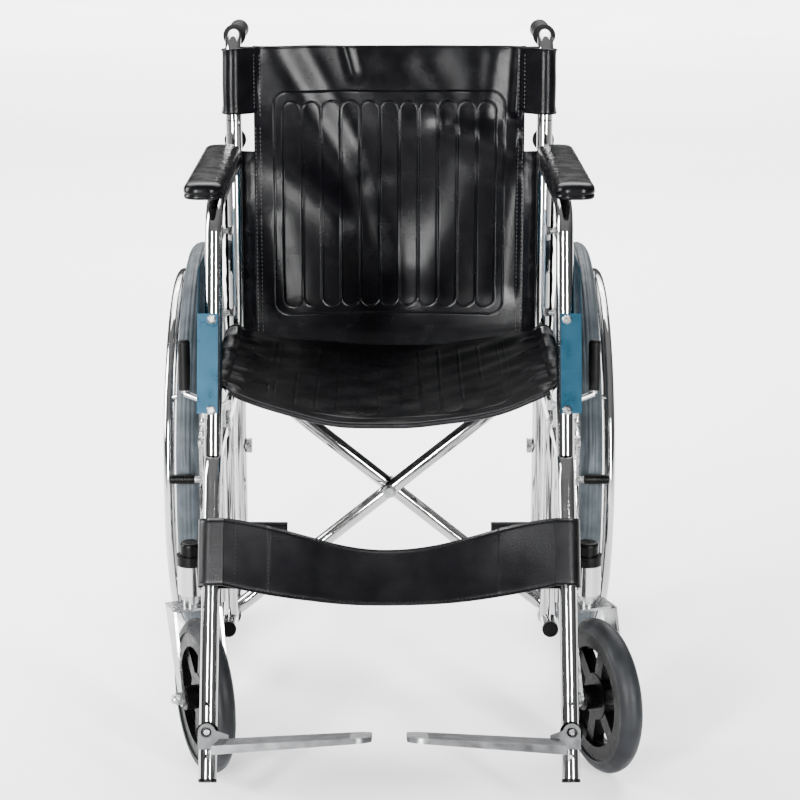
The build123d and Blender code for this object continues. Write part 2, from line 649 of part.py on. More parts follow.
def footplate():
    """Cast footplate: a tapered plate with grip ribs, on a lug that turns on the pivot bolt."""
    rear = FOOT_PIVOT + HANGER_OUT * FOOT_REAR_OUT - HANGER_UP * 7
    forward = Vector(0, -cos(radians(FOOT_TILT)), sin(radians(FOOT_TILT)))
    where = Plane(origin=(0, rear.Y, rear.Z), x_dir=(1, 0, 0), z_dir=forward)
    # in this plane local X is the chair's X, and local Y points down the plate's thickness
    down = 1 if where.y_dir.Z < 0 else -1
    outline = make_face(
        Polyline(
            (FOOT_ROOT_X, 0),
            (FOOT_TIP_X, -9 * down),
            (FOOT_TIP_X, -3.2 * down),
            (FOOT_ROOT_X, 10.5 * down),
            (FOOT_ROOT_X, 0),
        )
    )
    plate = extrude(where * outline, FOOT_DEPTH)
    corners = plate.edges().filter_by(lambda e: e.length < 8).group_by(Axis.X)[0]
    plate = fillet(corners, 22)
    for i in range(6):
        along = 14 + 18.5 * i
        lift = -1.2 * down
        rib = make_face(
            Polyline((192, lift), (46, -7.2 * down + lift), (46, -4 * down), (192, 4 * down), (192, lift))
        )
        plate += extrude(where.offset(along) * rib, 3)
    near, far = FOOT_PIVOT + HANGER_OUT * LUG_OUT, FOOT_PIVOT + HANGER_OUT * (LUG_OUT + LUG_THICK)
    lug = rod(near, far, EYE_R)
    arm_plane = Plane(origin=near, x_dir=(1, 0, 0), z_dir=HANGER_OUT)
    lower = 1 if arm_plane.y_dir.Z < 0 else -1
    arm = make_face(Polyline((-26, 3 * lower), (0, -6 * lower), (0, 12.4 * lower), (-26, 16 * lower), (-26, 3 * lower)))
    lug += extrude(arm_plane * arm, LUG_THICK)
    tongue = make_face(
        Polyline((-EYE_R, 0), (EYE_R, 0), (EYE_R, 20 * lower), (-EYE_R, 20 * lower), (-EYE_R, 0))
    )
    lug += extrude(arm_plane * tongue, LUG_THICK)
    bore = rod(FOOT_PIVOT, FOOT_PIVOT + HANGER_OUT * 50, 4 + RUN)
    sunk = rod(FOOT_PIVOT + HANGER_OUT * (LUG_OUT + LUG_THICK - EYE_SUNK), FOOT_PIVOT + HANGER_OUT * 50, 7)
    return plate + lug - bore - sunk


# ---- small pieces ----
def plastic_caps():
    """Black plastic pieces of one side: tube end plugs, caster cap, hinge knob and footrest washer."""
    found = []
    for y, way in ((LOWER_FRONT_Y, -1), (LOWER_REAR_Y, 1)):
        head = rod((SIDE_X, y, LOWER_Z), (SIDE_X, y + way * 5, LOWER_Z), TUBE_R)
        found.append(head + rod((SIDE_X, y - way * 16, LOWER_Z), (SIDE_X, y, LOWER_Z), BORE_R))
    end = Vector(SIDE_X, HANGER_END_Y, HANGER_END_Z)
    found.append(rod(end, end - HANGER_UP * 4, TUBE_R + 0.4) + rod(end + HANGER_UP * 14, end, BORE_R))
    ring = rod((STEM_X, CASTER_POST_Y, HOUSING_HIGH), (STEM_X, CASTER_POST_Y, HOUSING_HIGH + 13), 19)
    knob = rod((STEM_X, CASTER_POST_Y, HOUSING_HIGH + 13), (STEM_X, CASTER_POST_Y, HOUSING_HIGH + 30), 14.5)
    knob = fillet(knob.edges().group_by(Axis.Z)[-1], 4)
    hollow = rod((STEM_X, CASTER_POST_Y, HOUSING_HIGH), (STEM_X, CASTER_POST_Y, HOUSING_HIGH + 8), 11)
    found.append(ring + knob - hollow)
    back = HINGE_Y + 6
    knob = rod((SIDE_X, back, KNOB_Z), (SIDE_X, back + 13, KNOB_Z), 15.5)
    found.append(fillet(knob.edges().group_by(Axis.Y)[-1], 3))
    start = FOOT_PIVOT + HANGER_OUT * (TUBE_R - 1)
    washer = rod(start, FOOT_PIVOT + HANGER_OUT * (LUG_OUT - 0.3), 14, 4)
    found.append(washer - hanger_solid)
    return pieces(*found)


def screw(at, way, head_r, head_t, shank_r, shank):
    """A domed screw: its head stands out along way, its shank goes the other way."""
    at, way = Vector(*at), Vector(*way).normalized()
    head = frame_at(at, way, (0, 1, 0) if abs(way.X) > 0.9 else (1, 0, 0)) * Pos(0, 0, head_t / 2)
    dome = head * Cone(head_r, head_r * 0.6, head_t)
    return dome + rod(at - way * shank, at, shank_r)


def fasteners():
    """Screws and pins of one side: guard, arm pad, back hinge and footplate pivot."""
    found = []
    for at in guard_screws():
        found.append(screw(at, POST_OUT, 6, 3, SCREW_R, 2.2))
    for z in (500.0, 620.0):
        spacer = rod((SIDE_X, 0, z), (GUARD_X - 0.6, 0, z), 4) - cane_solid
        clip = block((GUARD_X - 3, -36, z - 6), (GUARD_X - 0.6, 4, z + 6))
        found.append(spacer + clip)
    for y in (-130.0, -350.0):
        post = rod((SIDE_X, y, ARM_Z), (SIDE_X, y, PAD_LOW_Z), 7)
        found.append(post - rod((SIDE_X, 0, ARM_Z), (SIDE_X, -400, ARM_Z), TUBE_R))
    found.append(rod((SIDE_X - 10, HINGE_Y, HINGE_Z), (SIDE_X + 10, HINGE_Y, HINGE_Z), HINGE_PIN_R))
    out = LUG_OUT + LUG_THICK - EYE_SUNK
    bolt = screw(FOOT_PIVOT + HANGER_OUT * (out + 0.4), HANGER_OUT, 5.6, 4.5, 4, out - TUBE_R + 0.2)
    found.append(bolt - hanger_solid)
    return pieces(*found)


def calf_strap():
    """Calf strap: a slack band across the front of both hangers, looped round each."""
    middle = Vector(SIDE_X, hanger_y(STRAP_Z), STRAP_Z)
    half = 42.0
    centre = Vector(0, middle.Y, middle.Z) + HANGER_OUT * (TUBE_R + SKIN + 0.2)
    where = Plane(origin=centre, x_dir=(1, 0, 0), z_dir=HANGER_OUT)
    up = 1 if where.y_dir.Z > 0 else -1
    sag = 24.0
    top = ThreePointArc((-SIDE_X, half * up), (0, (half - sag) * up), (SIDE_X, half * up))
    low = ThreePointArc((SIDE_X, -half * up), (0, (-half - sag) * up), (-SIDE_X, -half * up))
    ends = Line((SIDE_X, half * up), (SIDE_X, -half * up)) + Line((-SIDE_X, -half * up), (-SIDE_X, half * up))
    band = extrude(where * make_face(top + low + ends), 3)
    for side in (-1, 1):
        at = Vector(side * SIDE_X, middle.Y, middle.Z)
        inside = rod(at - HANGER_UP * 60, at + HANGER_UP * 60, TUBE_R + SKIN)
        band -= inside
        band += rod(at - HANGER_UP * half, at + HANGER_UP * half, TUBE_R + 3.7, TUBE_R + SKIN)
    return band


# ---- writing ----
write_pair("rear_upright", rear_upright())
write_pair("arm_tube", arm_tube())
write_pair("hanger_tube", hanger_tube())
lower_rail = rod((SIDE_X, LOWER_REAR_Y, LOWER_Z), (SIDE_X, LOWER_FRONT_Y, LOWER_Z), TUBE_R, BORE_R)
write_pair("lower_rail", lower_rail)
write_pair("lower_uprights", lower_uprights())
write_pair("caster_housing", caster_housing())
write_pair("seat_saddles", seat_saddles())
write_pair("skirt_guard", skirt_guard())
write_pair("arm_pad", arm_pad())
write_pair("axle_bolt", axle_bolt())
write_pair("rear_tyre", rear_tyre())
write_pair("rear_rim", rear_rim())
write_pair("rear_hub_and_spokes", pieces(rear_hub(), *[rear_spoke(i) for i in range(SPOKES)]))
write_pair("handrim", handrim())
write_pair("brake_bracket", brake_bracket())
write_pair("brake_lever", brake_lever())
write_pair("brake_grip", brake_grip())
write_pair("brake_arm", brake_arm())
write_pair("footplate", footplate())
write_pair("push_cane", push_cane())
write_pair("hand_grip", hand_grip())
write_pair("plastic_caps", plastic_caps())
write_pair("fasteners", fasteners())

caster_pieces = {"caster_fork": caster_fork(), "caster_hub": caster_hub(), "caster_tyre": caster_tyre()}
for name, shape in caster_pieces.items():
    for side in ("left", "right"):
        write(f"{name}_{side}", swivelled(shape, side))

write("cross_brace_a", cross_brace(BRACE_A_Y, RUN))
write("cross_brace_b", mirror(cross_brace(BRACE_B_Y, RUN), about=Plane.YZ))
write("brace_bolt", brace_bolt())
write("seat_sling", seat_sling())
write("back_upholstery_lower", back_upholstery_lower())
write("back_upholstery_upper", back_upholstery_upper())
write("calf_strap", calf_strap())
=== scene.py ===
"""Looks of the folding wheelchair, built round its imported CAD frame.

Metres. X is to the sitter's left, Y backwards, Z up. Fabric, arm pads, rear tyres, brake sleeves and seat tube
plugs are made here. Every other piece is the CAD part's own, with a finish from FINISH.
"""

import json
import math

import bpy
import numpy as np
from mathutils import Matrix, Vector


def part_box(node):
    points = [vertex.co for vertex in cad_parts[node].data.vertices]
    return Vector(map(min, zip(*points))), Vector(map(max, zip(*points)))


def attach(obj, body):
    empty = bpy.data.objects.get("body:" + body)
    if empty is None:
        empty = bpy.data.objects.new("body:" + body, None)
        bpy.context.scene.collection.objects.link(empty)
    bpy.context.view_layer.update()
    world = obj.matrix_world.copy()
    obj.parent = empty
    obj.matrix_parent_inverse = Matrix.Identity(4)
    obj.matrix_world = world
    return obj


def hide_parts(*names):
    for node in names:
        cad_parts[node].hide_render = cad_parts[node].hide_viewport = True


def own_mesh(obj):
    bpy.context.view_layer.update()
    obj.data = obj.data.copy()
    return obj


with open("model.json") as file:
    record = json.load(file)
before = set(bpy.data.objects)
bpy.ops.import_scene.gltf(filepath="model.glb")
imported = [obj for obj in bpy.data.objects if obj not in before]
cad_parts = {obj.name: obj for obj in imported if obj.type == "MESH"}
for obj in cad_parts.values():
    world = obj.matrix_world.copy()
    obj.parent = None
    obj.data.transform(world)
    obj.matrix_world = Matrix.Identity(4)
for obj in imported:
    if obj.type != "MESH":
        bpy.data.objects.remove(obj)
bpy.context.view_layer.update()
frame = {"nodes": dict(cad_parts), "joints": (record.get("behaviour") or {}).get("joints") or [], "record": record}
nodes = frame["nodes"]
joints = {j["name"]: j for j in frame["joints"]}

# ---- places that come from the frame ----
SIDE_X, _, HINGE_Z = joints["back_fold"]["pos_m"]
BACK_Y = joints["rear_wheel_left_spin"]["pos_m"][1]  # plane of the back uprights
SEAT_Z = joints["seat_pivot"]["pos_m"][2]
SPLIT_Z = HINGE_Z + 0.001  # where the back fabric divides
TUBE_R = (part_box("lower_rail_left")[1].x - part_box("lower_rail_left")[0].x) / 2
FOOT_OUT = Vector(joints["footplate_right_flip"]["axis"])  # forwards and up, square to the footrest hanger
FOOT_UP = Vector((0, FOOT_OUT.z, -FOOT_OUT.y))  # up along the hanger
FOOT_PIVOT = Vector(joints["footplate_left_flip"]["pos_m"])


# ---- small tools ----
SHARP_DEG = 50  # edges of cloth that turn more than this are shaded sharp


def smooth_step(t):
    """Eases 0 to 1."""
    t = np.clip(t, 0, 1)
    return t * t * (3 - 2 * t)


def mesh_piece(name, points, faces, material):
    """A smooth-shaded mesh object from points and faces."""
    mesh = bpy.data.meshes.new(name)
    mesh.from_pydata([tuple(p) for p in points], [], faces)
    mesh.polygons.foreach_set("use_smooth", [True] * len(mesh.polygons))
    mesh.materials.append(material)
    mesh.update()
    piece = bpy.data.objects.new(name, mesh)
    bpy.context.scene.collection.objects.link(piece)
    return piece


def bake_modifiers(piece):
    """Applies every modifier on a piece."""
    graph = bpy.context.evaluated_depsgraph_get()
    mesh = bpy.data.meshes.new_from_object(piece.evaluated_get(graph))
    piece.modifiers.clear()
    mesh.set_sharp_from_angle(angle=math.radians(SHARP_DEG))
    piece.data = mesh
    return piece


def grid_faces(rows, columns, ring=False):
    """Quads of a grid of points; a ring joins its last column to its first."""
    faces = []
    for i in range(rows - 1):
        for j in range(columns if ring else columns - 1):
            k = (j + 1) % columns
            faces.append((i * columns + j, i * columns + k, (i + 1) * columns + k, (i + 1) * columns + j))
    return faces


def end_faces(rows, columns):
    """The two faces that close a ring grid at its first and last rows."""
    return [tuple(range(columns))[::-1], tuple(range((rows - 1) * columns, rows * columns))]


def cloth(name, grid, thickness, material):
    """A thin closed shell: the grid of points is its outer face, and the thickness goes inwards."""
    rows, columns = grid.shape[:2]
    piece = mesh_piece(name, grid.reshape(-1, 3), grid_faces(rows, columns), material)
    shell = piece.modifiers.new("shell", "SOLIDIFY")
    shell.thickness = thickness
    shell.offset = -1
    shell.use_even_offset = False
    return bake_modifiers(piece)


def folds(a, b, ridges):
    """Height of soft ridges at the points (a, b). A ridge is (a0, b0, a1, b1, width, height)."""
    total = np.zeros(np.broadcast(a, b).shape)
    for a0, b0, a1, b1, width, height in ridges:
        run = np.array([a1 - a0, b1 - b0])
        t = np.clip(((a - a0) * run[0] + (b - b0) * run[1]) / (run @ run), 0, 1)
        apart = np.hypot(a - a0 - t * run[0], b - b0 - t * run[1])
        total = total + height * np.exp(-((apart / width) ** 2))
    return total


def box_distance(a, b, low, high, radius):
    """Signed distance from a rounded rectangle's edge, in the plane of a and b."""
    middle_a, middle_b = (low[0] + high[0]) / 2, (low[1] + high[1]) / 2
    out_a = np.abs(a - middle_a) - (high[0] - low[0]) / 2 + radius
    out_b = np.abs(b - middle_b) - (high[1] - low[1]) / 2 + radius
    outside = np.hypot(np.maximum(out_a, 0), np.maximum(out_b, 0))
    return outside + np.minimum(np.maximum(out_a, out_b), 0) - radius


def groove(distance, width):
    """1 on a pressed line, falling to 0 beside it."""
    return np.exp(-((distance / width) ** 2))


def capsule(start, end, radius):
    """Points and faces of a short rounded thread from start to end."""
    sides = 6
    start, end = Vector(start), Vector(end)
    line = (end - start).normalized()
    side = line.orthogonal().normalized()
    other = line.cross(side)
    points = []
    steps = ((0.0, 0.35), (0.14, 0.85), (0.35, 1.0), (0.65, 1.0), (0.86, 0.85), (1.0, 0.35))
    for along, width in steps:
        centre = start.lerp(end, along)
        for k in range(sides):
            turn = 2 * math.pi * k / sides
            points.append(centre + (side * math.cos(turn) + other * math.sin(turn)) * radius * width)
    return points, grid_faces(len(steps), sides, ring=True) + end_faces(len(steps), sides)


def thread(name, stitches, radius, material):
    """All the stitches of one seam in one piece. A stitch is its two ends."""
    points, faces = [], []
    for start, end in stitches:
        more, ends = capsule(start, end, radius)
        faces += [tuple(i + len(points) for i in face) for face in ends]
        points += more
    return mesh_piece(name, points, faces, material)


def seam(route, pitch, share, lift):
    """Stitches along a route: a list of points, each with the way out of the cloth there."""
    places = np.array([tuple(p) for p, _ in route])
    ways = [Vector(w).normalized() for _, w in route]
    steps = np.linalg.norm(np.diff(places, axis=0), axis=1)
    along = np.concatenate([[0], np.cumsum(steps)])

    def at(s):
        i = min(int(np.searchsorted(along, s, side="right")) - 1, len(steps) - 1)
        t = (s - along[i]) / steps[i]
        return Vector(places[i]).lerp(Vector(places[i + 1]), t) + ways[i].lerp(ways[i + 1], t) * lift

    count = int(along[-1] / pitch)
    return [(at(k * pitch + 0.1 * pitch), at(min((k + share) * pitch, along[-1]))) for k in range(count)]


def tube(name, route, radius, material, sides):
    """A round tube along a list of points, closed at its ends."""
    route = [Vector(p) for p in route]
    points = []
    side = None
    for i, at in enumerate(route):
        line = (route[min(i + 1, len(route) - 1)] - route[max(i - 1, 0)]).normalized()
        side = line.orthogonal() if side is None else side - line * side.dot(line)
        side.normalize()
        other = line.cross(side)
        for k in range(sides):
            turn = 2 * math.pi * k / sides
            points.append(at + (side * math.cos(turn) + other * math.sin(turn)) * radius)
    faces = grid_faces(len(route), sides, ring=True) + end_faces(len(route), sides)
    return mesh_piece(name, points, faces, material)


def turned(name, outline, centre, axis, material, steps):
    """A ring or knob: an outline of (along, radius) turned about an axis through centre."""
    axis = Vector(axis).normalized()
    side = axis.orthogonal().normalized()
    other = axis.cross(side)
    centre = Vector(centre)
    points = []
    for i in range(steps):
        turn = 2 * math.pi * i / steps
        out = side * math.cos(turn) + other * math.sin(turn)
        points += [centre + axis * along + out * radius for along, radius in outline]
    count = len(outline)
    faces = []
    for i in range(steps):
        n = (i + 1) % steps
        for j in range(count):
            m = (j + 1) % count
            faces.append((i * count + j, i * count + m, n * count + m, n * count + j))
    return mesh_piece(name, points, faces, material)


# ---- materials ----
class Maker:
    """A node material with one Principled shader. Its textures are in metres, on the piece itself."""

    def __init__(self, name, **sockets):
        self.material = bpy.data.materials.new(name)
        self.material.use_nodes = True
        self.tree = self.material.node_tree
        self.shader = self.tree.nodes["Principled BSDF"]
        self.where = self.add("ShaderNodeTexCoord").outputs["Object"]
        for key, value in sockets.items():
            self.shader.inputs[key.replace("_", " ")].default_value = value

    def add(self, kind, **inputs):
        node = self.tree.nodes.new(kind)
        for key, value in inputs.items():
            node.inputs[key].default_value = value
        return node

    def link(self, a, b):
        self.tree.links.new(a, b)

    def noise(self, scale, detail):
        """Soft noise; scale is in lumps per metre."""
        node = self.add("ShaderNodeTexNoise", Scale=scale, Detail=detail)
        self.link(self.where, node.inputs["Vector"])
        return node.outputs["Fac"]

    def cells(self, scale, feature="F1"):
        """Pebbles or flakes; scale is in cells per metre."""
        node = self.add("ShaderNodeTexVoronoi", Scale=scale)
        node.feature = feature
        self.link(self.where, node.inputs["Vector"])
        return node.outputs["Distance"]

    def colour(self, source, dark, light, start=0.35, end=0.65):
        """Base colour from dark to light as source goes from start to end."""
        node = self.add("ShaderNodeValToRGB")
        node.color_ramp.elements[0].position = start
        node.color_ramp.elements[1].position = end
        node.color_ramp.elements[0].color = (*dark, 1)
        node.color_ramp.elements[1].color = (*light, 1)
        self.link(source, node.inputs["Fac"])
        self.link(node.outputs["Color"], self.shader.inputs["Base Color"])

    def rough(self, source, low, high):
        """Roughness from low to high over the middle of source."""
        node = self.add("ShaderNodeMapRange")
        for key, value in (("From Min", 0.3), ("From Max", 0.7), ("To Min", low), ("To Max", high)):
            node.inputs[key].default_value = value
        self.link(source, node.inputs["Value"])
        self.link(node.outputs["Result"], self.shader.inputs["Roughness"])

    def bump(self, *layers):
        """Bumps on top of each other. A layer is (height output, depth in metres)."""
        normal = None
        for height, depth in layers:
            node = self.add("ShaderNodeBump")
            node.inputs["Strength"].default_value = 1.0
            node.inputs["Distance"].default_value = depth
            self.link(height, node.inputs["Height"])
            if normal is not None:
                self.link(normal, node.inputs["Normal"])
            normal = node.outputs["Normal"]
        self.link(normal, self.shader.inputs["Normal"])


def chrome_plate(name, tint, rough):
    """Bright plating with faint drawing lines, cloudy smears and pin-prick pits."""
    m = Maker(name, Metallic=1.0)
    m.colour(m.noise(14, 4), tuple(0.93 * c for c in tint), tint)
    m.rough(m.noise(45, 5), rough, rough * 2.2)
    m.bump((m.noise(900, 2), 0.000006), (m.noise(30, 2), 0.00004))
    return m.material


def bright_zinc():
    """Zinc plate: slightly cloudy and duller than chrome."""
    m = Maker("zinc", Metallic=1.0)
    m.colour(m.noise(60, 4), (0.24, 0.245, 0.25), (0.42, 0.42, 0.43))
    m.rough(m.noise(200, 4), 0.2, 0.4)
    m.bump((m.noise(1500, 2), 0.00001))
    return m.material


def spoke_wire():
    """Drawn stainless wire and the turned hub."""
    m = Maker("spoke", Metallic=1.0)
    m.colour(m.noise(80, 2), (0.26, 0.27, 0.285), (0.42, 0.43, 0.445))
    m.rough(m.noise(300, 2), 0.16, 0.3)
    m.bump((m.noise(2000, 2), 0.00001))
    return m.material


def cast_alloy():
    """Cast and tumbled alloy with a fine sand grain and rubbed high spots."""
    m = Maker("cast", Metallic=0.9, Specular_Tint=(0.45, 0.45, 0.46, 1))
    m.colour(m.noise(30, 5), (0.06, 0.061, 0.063), (0.115, 0.117, 0.12))
    m.rough(m.noise(90, 5), 0.28, 0.46)
    m.bump((m.noise(1400, 3), 0.00006), (m.noise(150, 2), 0.00008))
    return m.material


def silver_fork():
    """Satin silver coat on pressed plate."""
    m = Maker("fork", Metallic=0.95)
    m.colour(m.noise(40, 3), (0.22, 0.225, 0.23), (0.34, 0.345, 0.35))
    m.rough(m.noise(120, 4), 0.16, 0.3)
    m.bump((m.noise(1200, 2), 0.00001))
    return m.material


def blue_paint():
    """Metallic blue-green paint: flakes under a thin clear coat with slight orange peel."""
    m = Maker("guard_paint", Metallic=0.7, Coat_Weight=0.12, Coat_Roughness=0.04)
    m.colour(m.cells(2600), (0.0002, 0.013, 0.026), (0.0004, 0.031, 0.055), 0.1, 0.8)
    m.rough(m.noise(60, 3), 0.26, 0.36)
    m.bump((m.cells(2600), 0.00003), (m.noise(260, 1), 0.00002))
    return m.material


def black_vinyl(name, grain, gloss, shine):
    """Coated fabric: pebbled grain, slow waves and a cloudy sheen."""
    m = Maker(name, Specular_IOR_Level=shine)
    m.colour(m.noise(22, 5), (0.0006, 0.0006, 0.0009), (0.0016, 0.0016, 0.0021))
    m.rough(m.noise(35, 5), gloss, gloss + 0.12)
    m.bump((m.cells(760, "SMOOTH_F1"), grain), (m.noise(2400, 2), grain / 3), (m.noise(38, 3), 0.00025))
    return m.material


def pad_skin():
    """Moulded foam skin with a fine leather print."""
    m = Maker("pad_skin", Specular_IOR_Level=0.08)
    m.colour(m.noise(30, 4), (0.0008, 0.0008, 0.001), (0.002, 0.002, 0.0023))
    m.rough(m.noise(50, 4), 0.2, 0.32)
    m.bump((m.cells(620, "SMOOTH_F1"), 0.00006), (m.noise(1800, 2), 0.00003))
    return m.material


def moulded(name, tone, low, high, grain):
    """Black moulded plastic or rubber with a fine spark texture."""
    m = Maker(name, Specular_IOR_Level=0.07)
    m.colour(m.noise(40, 3), 3 * (0.7 * tone,), 3 * (1.25 * tone,))
    m.rough(m.noise(110, 4), low, high)
    m.bump((m.noise(2200, 3), grain))
    return m.material


def tyre_rubber(name, dark, light):
    """Solid rubber, mottled and finely scuffed."""
    m = Maker(name, Specular_IOR_Level=0.15)
    m.colour(m.noise(36, 6), dark, light)
    m.rough(m.noise(70, 4), 0.42, 0.62)
    m.bump((m.noise(1100, 3), 0.00008), (m.noise(160, 4), 0.00012))
    return m.material


def black_thread(name, dark, light, coat):
    """Twisted bonded thread."""
    m = Maker(name, Coat_Weight=coat, Specular_IOR_Level=0.2)
    m.colour(m.noise(900, 2), (dark, dark, 1.05 * dark), (light, light, 1.05 * light))
    m.rough(m.noise(600, 2), 0.3, 0.5)
    m.bump((m.noise(3200, 1), 0.00008))
    return m.material


def clear_plug():
    """Milky clear plastic of the seat tube plugs."""
    m = Maker("plug", Transmission_Weight=0.55)
    m.colour(m.noise(50, 2), (0.7, 0.72, 0.74), (0.9, 0.91, 0.92))
    m.rough(m.noise(90, 2), 0.12, 0.24)
    m.bump((m.noise(700, 2), 0.00003))
    return m.material


CHROME = chrome_plate("chrome", (0.455, 0.452, 0.45), 0.045)
RIM_CHROME = chrome_plate("rim_chrome", (0.42, 0.425, 0.435), 0.09)
ZINC = bright_zinc()
SPOKE = spoke_wire()
CAST = cast_alloy()
FORK = silver_fork()
PAINT = blue_paint()
BACK_VINYL = black_vinyl("back_vinyl", 0.00012, 0.18, 0.075)
SEAT_VINYL = black_vinyl("seat_vinyl", 0.00016, 0.27, 0.16)
STRAP_VINYL = black_vinyl("strap_vinyl", 0.00016, 0.28, 0.12)
PAD = pad_skin()
GRIP = moulded("grip_rubber", 0.0022, 0.38, 0.56, 0.00012)
BLACK = moulded("black_plastic", 0.0009, 0.24, 0.42, 0.00004)
GREY_TYRE = tyre_rubber("grey_tyre", (0.016, 0.021, 0.0245), (0.031, 0.038, 0.0435))
CASTER_TYRE = tyre_rubber("caster_tyre", (0.0036, 0.0041, 0.005), (0.0068, 0.0076, 0.009))
# Back and sleeve thread: the same black thread as the strap's, painted lighter, so part of its colour is a painted
# highlight.
THREAD_PAINTED_HIGHLIGHT = black_thread("thread", 0.01, 0.04, 0.2)
DARK_THREAD = black_thread("dark_thread", 0.0012, 0.004, 0.0)
PLUG = clear_plug()

FINISH = {
    "chrome_tube": CHROME,
    "chrome_rim": RIM_CHROME,
    "spoke_steel": SPOKE,
    "zinc_steel": ZINC,
    "fork_alloy": FORK,
    "cast_alloy": CAST,
    "guard_paint": PAINT,
    "black_vinyl": BACK_VINYL,
    "pad_foam": PAD,
    "grip_rubber": GRIP,
    "black_plastic": BLACK,
    "grey_tyre": GREY_TYRE,
    "caster_rubber": CASTER_TYRE,
}


def finish_cad_nodes():
    """Gives every CAD node the material of its slot."""
    for row in frame["record"]["subparts"]:
        for place in nodes[row["node"]].material_slots:
            place.material = FINISH[row["material_slot"]]


# ---- back fabric ----
BACK_CLOTH = 0.0028  # thickness of the two flats
WRAP_CLOTH = 0.0020
SLEEVE_CLOTH = 0.0018
BACK_EDGE_X = 0.193  # where the flat of the back meets what wraps the uprights
BACK_LOW_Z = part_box("back_upholstery_lower")[0].z
BACK_TOP_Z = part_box("back_upholstery_upper")[1].z
WRAP_LOW_Z = SEAT_Z - 0.020
WRAP_HIGH_Z = SPLIT_Z - 0.046  # the wrap stops below the hinge
SLEEVE_EDGE_X = 0.187  # the sleeves' seam, on the flat
SLEEVE_LOW_Z = SPLIT_Z + 0.010
CHANNEL_PITCH = 0.0278
CHANNELS = 11
CHANNEL_LOW_Z = 0.505
CHANNEL_HIGH_Z = 0.805
BORDER_X = 0.1645
BORDER_LOW_Z = 0.494
BORDER_HIGH_Z = 0.819
BORDER_CORNER = 0.02
PRESS_WIDTH = 0.0009
PRESS_DEPTH = 0.0010
CHANNEL_GAP = 0.0007  # half the plain strip between two channels
STITCH_PITCH = 0.006

BACK_FOLDS = [
    # broad soft folds of the slack back: (x, z, x, z, width, height towards the front)
    (-0.165, 0.870, -0.075, 0.730, 0.034, 0.0075),
    (-0.110, 0.880, -0.020, 0.700, 0.030, -0.0063),
    (-0.060, 0.690, -0.015, 0.560, 0.030, 0.0051),
    (-0.150, 0.705, -0.070, 0.640, 0.026, -0.0051),
    (-0.062, 0.884, -0.052, 0.845, 0.010, 0.0036),
    (0.187, 0.878, 0.181, 0.792, 0.009, 0.0075),
    (0.150, 0.870, 0.140, 0.790, 0.018, -0.0039),
    (0.175, 0.735, 0.080, 0.770, 0.022, 0.0069),
    (0.060, 0.860, 0.100, 0.790, 0.030, -0.0054),
    (0.120, 0.690, 0.060, 0.560, 0.036, 0.0045),
    (0.000, 0.640, 0.020, 0.520, 0.028, -0.0039),
    (0.175, 0.680, 0.165, 0.540, 0.022, -0.0045),
    (-0.172, 0.620, -0.150, 0.520, 0.022, 0.0045),
]


def back_front(x, z):
    """Y of the back fabric's front face, before its pressed lines."""
    slack = 0.007 + 0.015 * smooth_step((SPLIT_Z - z) / 0.16)
    bow = BACK_Y + 0.007 + slack * (1 - (x / BACK_EDGE_X) ** 2)
    ease = smooth_step((BACK_EDGE_X - np.abs(x)) / 0.012)
    return bow - folds(x, z, BACK_FOLDS) * ease


def pressed(x, z):
    """Depth share of the pressed channels and of the border round them."""
    border = box_distance(x, z, (-BORDER_X, BORDER_LOW_Z), (BORDER_X, BORDER_HIGH_Z), BORDER_CORNER)
    depth = groove(border, PRESS_WIDTH)
    first = -CHANNEL_PITCH * CHANNELS / 2
    for i in range(CHANNELS):
        low = first + CHANNEL_PITCH * i + CHANNEL_GAP
        high = low + CHANNEL_PITCH - 2 * CHANNEL_GAP
        slot = box_distance(x, z, (low, CHANNEL_LOW_Z), (high, CHANNEL_HIGH_Z), (high - low) / 2 - 0.0002)
        depth = np.maximum(depth, groove(slot, PRESS_WIDTH))
    return depth


def back_rows(low, high):
    """Heights of the grid's rows: close where the channels turn, wider between."""
    fine, wide = 0.0010, 0.005
    rows = [low]
    while rows[-1] < high - fine:
        z = rows[-1]
        turning = z < CHANNEL_LOW_Z + 0.016 or CHANNEL_HIGH_Z - 0.016 < z < BORDER_HIGH_Z + 0.003
        rows.append(z + (fine if turning else wide))
    rows[-1] = high
    return np.array(rows)


def back_flat(name, low, high):
    """One flat of the back, with its folds and its pressed channels."""
    columns = np.linspace(-BACK_EDGE_X, BACK_EDGE_X, 387)
    x, z = np.meshgrid(columns, back_rows(low, high))
    y = back_front(x, z) + PRESS_DEPTH * pressed(x, z)
    return cloth(name, np.stack([x, y, z], axis=-1), BACK_CLOTH, BACK_VINYL)


def squash_with_fold(piece):
    """Gives a flat piece that spans the two edges its own copy of its mesh. The chair's sides close on such a
    piece.
    """
    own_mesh(piece)


def top_hem():
    """The rolled hem along the top edge of the back."""
    z = BACK_TOP_Z - 0.0025
    columns = np.linspace(-BACK_EDGE_X, BACK_EDGE_X, 90)
    route = [(x, float(back_front(x, z)) + BACK_CLOTH / 2, z) for x in columns]
    piece = tube("back_top_hem", route, 0.0024, BACK_VINYL, 12)
    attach(piece, "upper_back_left")
    squash_with_fold(piece)
    return piece


def back_stitches(name, seams_x, low, high, body):
    """Rows of stitches up the two sides of a flat."""
    ends = []
    for x in [side * across for side in (-1, 1) for across in seams_x]:
        heights = np.arange(low, high, STITCH_PITCH)
        y = back_front(np.full(len(heights), x), heights)
        route = [((x, yi, z), (0, -1, 0)) for yi, z in zip(y, heights)]
        ends += seam(route, STITCH_PITCH, 0.72, 0.0003)
    piece = thread(name, ends, 0.0006, THREAD_PAINTED_HIGHLIGHT)
    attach(piece, body)
    squash_with_fold(piece)
    return piece


